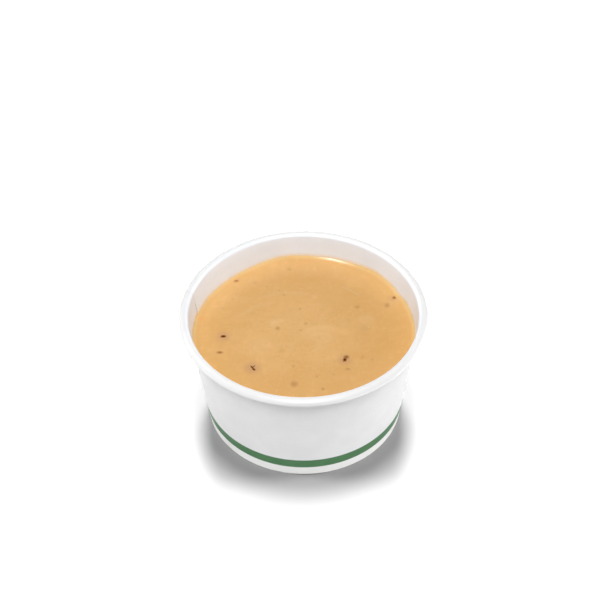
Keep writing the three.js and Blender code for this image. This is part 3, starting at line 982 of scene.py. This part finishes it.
# Painted light over the gravy's middle and painted shade on its right side: middle, weight of each axis,
# where nothing, where full
PAINTED_LIGHT_MIDDLE = ((-3 * MM, -2 * MM, 0), (1, 1, 0), 44 * MM, 8 * MM)
PAINTED_SHADE_RIGHT = ((46 * MM, -2 * MM, 0), (1, 0.8, 0), 26 * MM, 4 * MM)
THIN_EDGE = (2.4 * MM, 0.1 * MM)  # distances from the paper over which the gravy thins out
THIN_STRENGTH = 0.7
IN_PLAN = (1, 1, 0)


def drift(shader, middle, weights, nothing, full):
    """A change of tone that grows towards a point."""
    return shader.rise(shader.reach(middle, weights), nothing, full)


def gravy_tones(shader, gravy, mottle):
    """Swirls of cream and of browner gravy, a middle paled by painted light and a right side browned by
    painted shade.
    """
    swirl = shader.grain(17 * MM, detail=2, distortion=0.9, stretch=(1, 1.25, 1))
    streak = shader.grain(6 * MM, detail=3, distortion=1.4, stretch=(1, 0.55, 1))
    fine = shader.grain(2.2 * MM, detail=3)
    pale = shader.rise(swirl * 0.6 + streak * 0.4, 0.5, 0.72)
    deep = shader.rise(swirl * 0.65 + mottle * 0.35, 0.5, 0.3)
    tone = shader.blend(pale * 0.4 + drift(shader, *PAINTED_LIGHT_MIDDLE) * 0.6, gravy.body, gravy.pale)
    tone = shader.blend(deep * 0.5 + drift(shader, *PAINTED_SHADE_RIGHT) * 0.5, tone, gravy.deep)
    tone = shader.blend(shader.rise(fine, 0.52, 0.75) * 0.25, tone, gravy.pale)
    return shader.blend(shader.rise(fine, 0.48, 0.28) * 0.25, tone, gravy.deep)


def bent_places(shader):
    """The places on the piece, moved a little, so that edges drawn from them wander."""
    wobble = shader.node(
        "ShaderNodeTexNoise", {"noise_dimensions": "3D"},
        {"Vector": shader.place, "Scale": 1 / BEND_SIZE, "Detail": 1.0}, output="Color",
    )
    centred = shader.vector("SUBTRACT", wobble, (0.5, 0.5, 0.5))
    bend = shader.vector("MULTIPLY", centred, (EDGE_BEND, EDGE_BEND, EDGE_BEND))
    return shader.vector("ADD", shader.place, bend)


def gravy_marks(shader, tone):
    """The tone with its pale patches, pale skin lines that are partly painted light on the ridges, sunk
    specks, halos and crumb laid over it.
    """
    bent = bent_places(shader)

    def away(x, y):
        """Distance from a point in plan, on the bent places."""
        return shader.reach((x * MM, y * MM, 0), IN_PLAN, bent)

    def near(x, y, half, edge):
        """1 near a point, 0 away from it."""
        return shader.rise(away(x, y), edge[0] * half * MM, edge[1] * half * MM)

    for x, y, half, strength in PALE_PATCHES:
        tone = shader.blend(near(x, y, half, PATCH_EDGE) * strength, tone, SKIN_AND_PAINTED_LIGHT_TONE)
    # pale lines along the ridges: partly starch, partly painted light on their crests
    for x, y, radius, stretch_x, stretch_y, half, width, strength in SKIN_LINES_AND_RIDGE_LIGHT:
        off = away(x, y) - radius * MM
        on_line = shader.rise(off * off, (width * MM / 2) ** 2, 0)
        along = near(stretch_x, stretch_y, half, WRINKLE_END)
        tone = shader.blend(on_line * along * strength, tone, SKIN_AND_PAINTED_LIGHT_TONE)
    reach, halo_strength = HALO
    first_lobes = [fleck[0] for fleck in PEPPER_FLECKS]
    halos = [(x, y, reach * long, halo_strength, "halo") for x, y, long, *_ in first_lobes]
    for x, y, half, strength, kind in (*SUNK_SPECKS, *halos):
        tone = shader.blend(near(x, y, half, SPECK_EDGE) * strength, tone, SUNK_TONES[kind])
    x, y, half, strength = LIGHT_DOT
    return shader.blend(near(x, y, half, DOT_EDGE) * strength, tone, SKIN_AND_PAINTED_LIGHT_TONE)


def gravy_skin(form, gravy):
    """Smooth starchy gravy: faint swirls of cream, specks under the surface, a thin edge on the paper."""
    shader = Shader("pepper_gravy")
    mottle = shader.grain(1.1 * MM, detail=2)
    tone = gravy_marks(shader, gravy_tones(shader, gravy, mottle))
    paper_face = shader.axis(2) * form.lines.paper.taper + form.lines.face_radius(0)
    from_paper = paper_face - shader.reach((0, 0, 0), IN_PLAN)
    tone = shader.blend(shader.rise(from_paper, *THIN_EDGE) * THIN_STRENGTH, tone, gravy.thin)
    ripple = shader.grain(5 * MM, detail=2, distortion=0.6)
    return shader.finish(
        base_color=tone,
        roughness=shader.rise(mottle, 0.3, 0.7, 0.17, 0.23),
        specular_level=0.22,
        subsurface_weight=0.25,
        subsurface_radius=(1.0, 0.45, 0.2),
        subsurface_scale=1.2 * MM,
        normal=shader.bump(ripple * 4 + mottle * 0.4, 0.012 * MM),
    )


class BOWL_OT_gravy_pool(bpy.types.Operator):
    """Build the gravy: its uneven surface, the meniscus on the wall, and its side and floor"""

    bl_idname = "bowl.gravy_pool"
    bl_label = "Gravy Pool"

    sides = 288
    # In millimetres: the rings' steps from the wall in and beyond, the side's rows, and the ripples
    edge_steps = (0.12, 0.14, 0.17, 0.21, 0.26, 0.32, 0.4, 0.48, 0.56, 0.62)
    ring_step = 0.7
    side_heights = (46, 40, 30, 20, 14, 11, 8)
    ripple_size = 9
    ripple_height = 0.05
    top_near = 0.01  # a vertex no lower than this under the level belongs to the top
    side_near = 1  # a vertex no further in than this belongs to the side

    def execute(self, context):
        paper = context.scene.bowl_paper
        gravy = context.scene.bowl_gravy
        form = GravyForm(paper, gravy)
        brim = form.side_radius(0, form.shore(0))
        piece = disc("gravy_pool", self.sides, brim * MM, form.level * MM)
        inner = brim
        for step in self.edge_steps:
            bpy.ops.mesh.inset(thickness=step * MM, depth=0)
            inner -= step
        rings = int(inner / self.ring_step)
        for _ in range(rings - 1):
            bpy.ops.mesh.inset(thickness=inner / rings * MM, depth=0)
        bpy.ops.mesh.poke()
        self.pull_side_down(piece, form, brim)
        self.lay_surface(piece, form, brim)
        bpy.ops.mesh.select_all(action="SELECT")
        bpy.ops.mesh.remove_doubles(threshold=SAME_PLACE)
        bpy.ops.mesh.normals_make_consistent(inside=False)
        piece.data.materials.append(gravy_skin(form, gravy))
        finish_piece(piece, "gravy", crease=math.radians(60))
        return {"FINISHED"}

    def pull_side_down(self, piece, form, brim):
        """Extrudes the brim down the wall to just above the base, and closes the floor."""
        paper = form.lines.paper
        floor = (paper.base_top + paper.gap) / MM
        rings = [Vector((brim, form.level))]
        rings += [Vector((form.side_radius(0, height), height)) for height in (*self.side_heights, floor)]
        select_ring(piece, form.level * MM, brim * MM)
        for here, there in zip(rings, rings[1:]):
            extrude_ring(here * MM, there * MM)
        bpy.ops.mesh.edge_face_add()
        bpy.ops.mesh.inset(thickness=rings[-1].x * MM / 2, depth=0)
        bpy.ops.transform.translate(value=(0, 0, paper.base_crown))
        bpy.ops.mesh.poke()

    def lay_surface(self, piece, form, brim):
        """Lifts every point of the top to the surface's height, and fits the side to the wall."""
        for vertex in edit(piece).verts:
            point = vertex.co / MM
            azimuth = azimuth_of(point)
            radius = math.hypot(point.x, point.y)
            if point.z > form.level - self.top_near:
                shore = form.side_radius(azimuth, form.shore(azimuth))
                radius *= shore / brim
                ripple = noise.noise(Vector((point.x, point.y, 0)) / self.ripple_size) * self.ripple_height
                height = form.surface(radius, azimuth) + ripple
            else:
                height = point.z
                if radius > form.side_radius(azimuth, height) - self.side_near:
                    radius = form.side_radius(azimuth, height)
            angle = math.radians(azimuth)
            vertex.co = Vector((radius * math.cos(angle), radius * math.sin(angle), height)) * MM
        bmesh.update_edit_mesh(piece.data)


# ---------------------------------------------------------------- flecks

# Each fleck's lobes: place, half length and half width in millimetres, turn in degrees, and the share of
# gravy that veils it. The sizes reach to where a lobe sinks away
PEPPER_FLECKS = (
    ((-37.5, -2.7, 1.9, 1.1, 2, 0.0),),
    (
        (-23.6, -23.0, 2.2, 0.6, -57, 0.1),
        (-22.9, -24.1, 1.15, 0.8, -50, 0.0),
        (-22.9, -22.3, 1.3, 0.36, 54, 0.25),
    ),
    ((18.5, -19.0, 1.8, 1.25, 80, 0.1), (19.2, -17.4, 1.9, 1.7, 60, 0.45)),
)
ONION_FLECKS = (
    ((-38.8, -13.1, 2.0, 1.2, -6, 0.3),),
    ((-32.5, 36.6, 1.9, 1.3, 5, 0.35),),
    ((43.8, 22.4, 1.8, 1.5, 60, 0.05),),
    ((39.9, 16.6, 2.3, 1.5, 75, 0.62),),
    ((19.8, -25.0, 1.5, 1.0, -10, 0.7),),
)
PEPPER_FLESH = (0.30, 0.10, 0.03)
ONION_FLESH = (0.50, 0.235, 0.09)
FLECK_TOP = 0.28  # millimetres that a lobe's half height measures
FLECK_SUNK = 0.1  # millimetres from a lobe's middle up to the gravy
VEIL_SHADE = 0.9  # share of its own tone that the gravy over a fleck has
GRAVY_PIECES = ("gravy_pool", "pepper_flecks", "onion_flecks")
SUNK_SHARE = "sunk_share"  # attribute: 0 where a lobe is bare, 1 where it has sunk away


def fleck_skin(name, core, flesh, gravy):
    """A fleck: dark in its middle, redder round it, and veiled by gravy where it sinks away."""
    shader = Shader(name)
    grains = shader.grain(0.55 * MM, detail=2)
    fine = shader.grain(0.2 * MM, detail=1)
    sunk = shader.node("ShaderNodeAttribute", {"attribute_name": SUNK_SHARE}, output="Fac")
    ragged = sunk + (grains - 0.5) * 0.7
    tone = shader.blend(shader.rise(ragged, 0.2, 0.75), core, flesh)
    veil = [VEIL_SHADE * value for value in gravy]
    tone = shader.blend(shader.rise(ragged, 0.5, 1.0), tone, veil)
    return shader.finish(
        base_color=tone,
        roughness=0.55,
        specular_level=0.05,
        normal=shader.bump(grains * 0.7 + fine * 0.3, 0.05 * MM),
    )


class BOWL_OT_flecks(bpy.types.Operator):
    """Lay the flecks of pepper and browned onion, half sunk in the gravy"""

    bl_idname = "bowl.flecks"
    bl_label = "Flecks"

    def execute(self, context):
        gravy = context.scene.bowl_gravy
        form = GravyForm(context.scene.bowl_paper, gravy)
        black = fleck_skin("pepper_skin", gravy.pepper, PEPPER_FLESH, gravy.body)
        brown = fleck_skin("onion_skin", gravy.onion, ONION_FLESH, gravy.body)
        self.lay("pepper_flecks", PEPPER_FLECKS, form, black, seed=3)
        self.lay("onion_flecks", ONION_FLECKS, form, brown, seed=21)
        return {"FINISHED"}

    def lay(self, name, flecks, form, material, seed):
        """Models each lobe from a sphere, lays it on the surface, and joins them."""
        start_piece()
        lobes = [lobe for fleck in flecks for lobe in fleck]
        laid = [self.model(lobe, form, seed + number) for number, lobe in enumerate(lobes)]
        for lobe in laid:
            lobe.select_set(True)
        bpy.context.view_layer.objects.active = laid[0]
        bpy.ops.object.join()
        piece = bpy.context.object
        piece.name = piece.data.name = name
        piece.data.materials.append(material)
        finish_piece(piece, crease=math.radians(50))

    def model(self, lobe, form, seed):
        """One lobe: a flattened, uneven lump that remembers how deep the gravy stands over each point."""
        x, y, long, wide, degrees, veil = lobe
        height = form.surface(math.hypot(x, y), azimuth_of(Vector((x, y))))
        start_piece()
        bpy.ops.mesh.primitive_ico_sphere_add(subdivisions=4, radius=MM, location=(0, 0, 0))
        piece = bpy.context.object
        share = piece.data.attributes.new(SUNK_SHARE, "FLOAT", "POINT")
        for vertex, value in zip(piece.data.vertices, share.data):
            value.value = veil + (1 - veil) * math.hypot(vertex.co.x, vertex.co.y) / MM
        bpy.ops.object.mode_set(mode="EDIT")
        bpy.ops.mesh.select_all(action="SELECT")
        bpy.ops.transform.vertex_random(offset=0.1 * MM, uniform=0.2, seed=seed)
        bpy.ops.mesh.vertices_smooth(factor=0.5, repeat=3)
        middle = (0, 0, 0)
        bpy.ops.transform.resize(value=(long, wide, FLECK_TOP), center_override=middle)
        bpy.ops.transform.rotate(value=-math.radians(degrees), orient_axis="Z", center_override=middle)
        bpy.ops.transform.translate(value=Vector((x, y, height - FLECK_SUNK)) * MM)
        bpy.ops.object.mode_set(mode="OBJECT")
        piece.select_set(False)
        return piece


# ---------------------------------------------------------------- studio


def soft_light(name, place, aim, size, watts, size_y=None):
    """An area light at a place, turned to a point."""
    start_piece()
    bpy.ops.object.light_add(type="AREA", location=place)
    light = bpy.context.object
    light.name = light.data.name = name
    light.data.shape = "RECTANGLE" if size_y else "DISK"
    light.data.size = size
    if size_y:
        light.data.size_y = size_y
    light.data.energy = watts
    light.rotation_euler = (Vector(aim) - Vector(place)).to_track_quat("-Z", "Y").to_euler()
    return light


LIGHTS_OUT = 1.3  # distance of a softbox from the middle of the floor
# The ring of softboxes under the table's level: azimuth in degrees, and share of the ring's power
LOW_SOFTBOXES = (
    (-120, 0.127),
    (-60, 0.109),
    (-30, 0.072),
    (0, 0.177),
    (90, 0.293),
    (180, 0.222),
)


def around(azimuth, elevation):
    """The place of a softbox at an azimuth and an elevation, in degrees."""
    out = math.radians(azimuth)
    up = math.radians(elevation)
    flat = LIGHTS_OUT * math.cos(up)
    return (flat * math.cos(out), flat * math.sin(out), LIGHTS_OUT * math.sin(up))


class BOWL_OT_studio(bpy.types.Operator):
    """Lay the pale floor, set the lights and place the camera"""

    bl_idname = "bowl.studio"
    bl_label = "Studio"

    floor_radius = 3.0
    floor_steps = 96
    floor_drop = 0.02 * MM
    floor_tones = (0.295, 0.305)
    # The floor's own glow, painted light, grows outwards so that it stays white, and its first step lightens
    # the outer part of the bowl's shadow: from one distance to another, by how much
    glows = ((0.053, 0.078, 0.22), (0.13, 0.5, 0.2), (0.5, 1.6, 0.6))
    low_elevation = -20
    low_size = 0.7
    sensor_width = 36
    nearest_seen = 0.01

    def execute(self, context):
        studio = context.scene.bowl_studio
        floor = self.lay_floor()
        rim = Vector((0, 0, context.scene.bowl_paper.height))
        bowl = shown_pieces()
        self.light_only(
            "floor", [floor],
            soft_light("floor_top_softbox", around(0, 90), rim, 0.4, studio.floor_top),
            soft_light("floor_back_softbox", around(90, 22), rim, 0.6, studio.floor_back),
            soft_light("floor_left_softbox", around(174, 12), rim, 0.5, studio.floor_sides),
            soft_light("floor_right_softbox", around(6, 12), rim, 0.5, studio.floor_sides),
        )
        self.light_only(
            "paper", [piece for piece in bowl if piece.name not in GRAVY_PIECES],
            soft_light("paper_front_softbox", around(-90, 65), rim, 0.7, studio.paper_front),
            soft_light("paper_left_softbox", around(145, 45), rim, 0.5, studio.paper_left),
            soft_light("paper_right_softbox", around(22, 17), rim, 0.5, studio.paper_right),
            *self.low_lights(studio),
            tint=studio.paper_tint,
            through_others=True,
        )
        self.light_only(
            "gravy", [piece for piece in bowl if piece.name in GRAVY_PIECES],
            soft_light("gravy_softbox", (-0.26, -0.03, 1.17), rim, 0.3, studio.gravy_key, size_y=0.14),
            soft_light("gravy_front_softbox", around(-90, 60), rim, 0.9, studio.gravy_front),
            through_others=True,
        )
        self.light_room(context.scene, studio)
        self.place_camera(context.scene, studio, rim)
        context.scene.view_settings.view_transform = "Standard"
        return {"FINISHED"}

    def lay_floor(self):
        """A round, pale, matt floor just under the foot, which glows a little away from the bowl."""
        floor = disc("studio_floor", self.floor_steps, self.floor_radius, -self.floor_drop)
        bpy.ops.mesh.inset(thickness=self.floor_radius / 2, depth=0)
        bpy.ops.object.mode_set(mode="OBJECT")
        shader = Shader("floor_paper")
        cloud = shader.grain(90 * MM, detail=2)
        away = shader.vector("LENGTH", shader.place, output=1)
        glow = 0
        for near, far, strength in self.glows:
            glow = shader.rise(away, near, far) * strength + glow
        darker, lighter = self.floor_tones
        floor.data.materials.append(shader.finish(
            base_color=shader.blend(cloud, (darker, darker, darker), (lighter, lighter, lighter)),
            roughness=0.95,
            specular_level=0.0,
            emission_color=shader.blend(glow, (0, 0, 0), (1, 1, 1)),
            emission_strength=1.0,
        ))
        floor.visible_diffuse = False  # the low softboxes light the paper in its stead
        floor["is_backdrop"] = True
        return floor

    def low_lights(self, studio):
        """Softboxes under the table's level, which stand for the light that comes back from the table."""
        middle = Vector((0, 0, bpy.context.scene.bowl_paper.height / 2))
        made = []
        for number, (azimuth, part) in enumerate(LOW_SOFTBOXES, start=1):
            place = around(azimuth, self.low_elevation)
            watts = part * studio.paper_low
            made.append(soft_light(f"paper_low_softbox_{number}", place, middle, self.low_size, watts))
        return made

    def light_only(self, name, things, *lights, tint=(1, 1, 1), through_others=False):
        """Keeps these lights off all but a few things, and lets them pass through all others if asked."""
        lit = bpy.data.collections.new(name)
        for thing in things:
            lit.objects.link(thing)
        for light in lights:
            light.data.color = tint
            light.light_linking.receiver_collection = lit
            if through_others:
                light.light_linking.blocker_collection = lit

    def light_room(self, scene, studio):
        """A dark room with a backdrop that looks white but lights nothing."""
        world = bpy.data.worlds.new("studio_room")
        world.use_nodes = True
        nodes = world.node_tree.nodes
        links = world.node_tree.links
        nodes.clear()
        path = nodes.new("ShaderNodeLightPath")
        seen = nodes.new("ShaderNodeMapRange")
        background = nodes.new("ShaderNodeBackground")
        out = nodes.new("ShaderNodeOutputWorld")
        seen.inputs["To Min"].default_value = studio.room
        seen.inputs["To Max"].default_value = studio.backdrop
        links.new(path.outputs["Is Camera Ray"], seen.inputs["Value"])
        links.new(seen.outputs[0], background.inputs["Strength"])
        links.new(background.outputs[0], out.inputs["Surface"])
        background.inputs["Color"].default_value = (1, 1, 1, 1)
        scene.world = world

    def place_camera(self, scene, studio, rim):
        """Places the camera: it looks along +Y and down, past the rim's middle."""
        right = Vector((1, 0, 0))
        forward = Vector((0, math.cos(studio.elevation), -math.sin(studio.elevation)))
        up = Vector((0, math.sin(studio.elevation), math.cos(studio.elevation)))
        place = rim - forward * studio.distance - right * studio.aside + up * studio.above
        start_piece()
        bpy.ops.object.camera_add(location=place)
        camera = bpy.context.object
        camera.name = camera.data.name = "studio_camera"
        camera.data.lens = studio.lens
        camera.data.sensor_width = self.sensor_width
        camera.data.clip_start = self.nearest_seen
        axes = Matrix((right, up, -forward)).transposed()
        rolled = axes @ Matrix.Rotation(studio.roll, 3, "Z")
        camera.rotation_euler = rolled.to_euler()
        scene.camera = camera


# ---------------------------------------------------------------- panel and start

PIECES = (BOWL_OT_paper_wall, BOWL_OT_paper_base, BOWL_OT_gravy_pool, BOWL_OT_flecks, BOWL_OT_studio)


class BOWL_PT_sidebar(bpy.types.Panel):
    """The bowl's settings and the operators that build it"""

    bl_label = "Paper Bowl of Gravy"
    bl_idname = "BOWL_PT_sidebar"
    bl_space_type = "VIEW_3D"
    bl_region_type = "UI"
    bl_category = "Bowl"

    def draw(self, context):
        for settings in (context.scene.bowl_paper, context.scene.bowl_gravy, context.scene.bowl_studio):
            box = self.layout.box()
            for name in settings.__annotations__:
                box.prop(settings, name)
        for operator in PIECES:
            self.layout.operator(operator.bl_idname)


CLASSES = (PaperSettings, GravySettings, StudioSettings, *PIECES, BOWL_PT_sidebar)


def register():
    """Adds the settings, the operators and the panel to Blender."""
    for kind in CLASSES:
        bpy.utils.register_class(kind)
    bpy.types.Scene.bowl_paper = PointerProperty(type=PaperSettings)
    bpy.types.Scene.bowl_gravy = PointerProperty(type=GravySettings)
    bpy.types.Scene.bowl_studio = PointerProperty(type=StudioSettings)


def unregister():
    """Takes them away again."""
    del bpy.types.Scene.bowl_studio
    del bpy.types.Scene.bowl_gravy
    del bpy.types.Scene.bowl_paper
    for kind in reversed(CLASSES):
        bpy.utils.unregister_class(kind)


def main():
    """Builds every piece and the studio."""
    register()
    bpy.ops.bowl.paper_wall()
    bpy.ops.bowl.paper_base()
    bpy.ops.bowl.gravy_pool()
    bpy.ops.bowl.flecks()
    bpy.ops.bowl.studio()


if __name__ == "__main__":
    main()
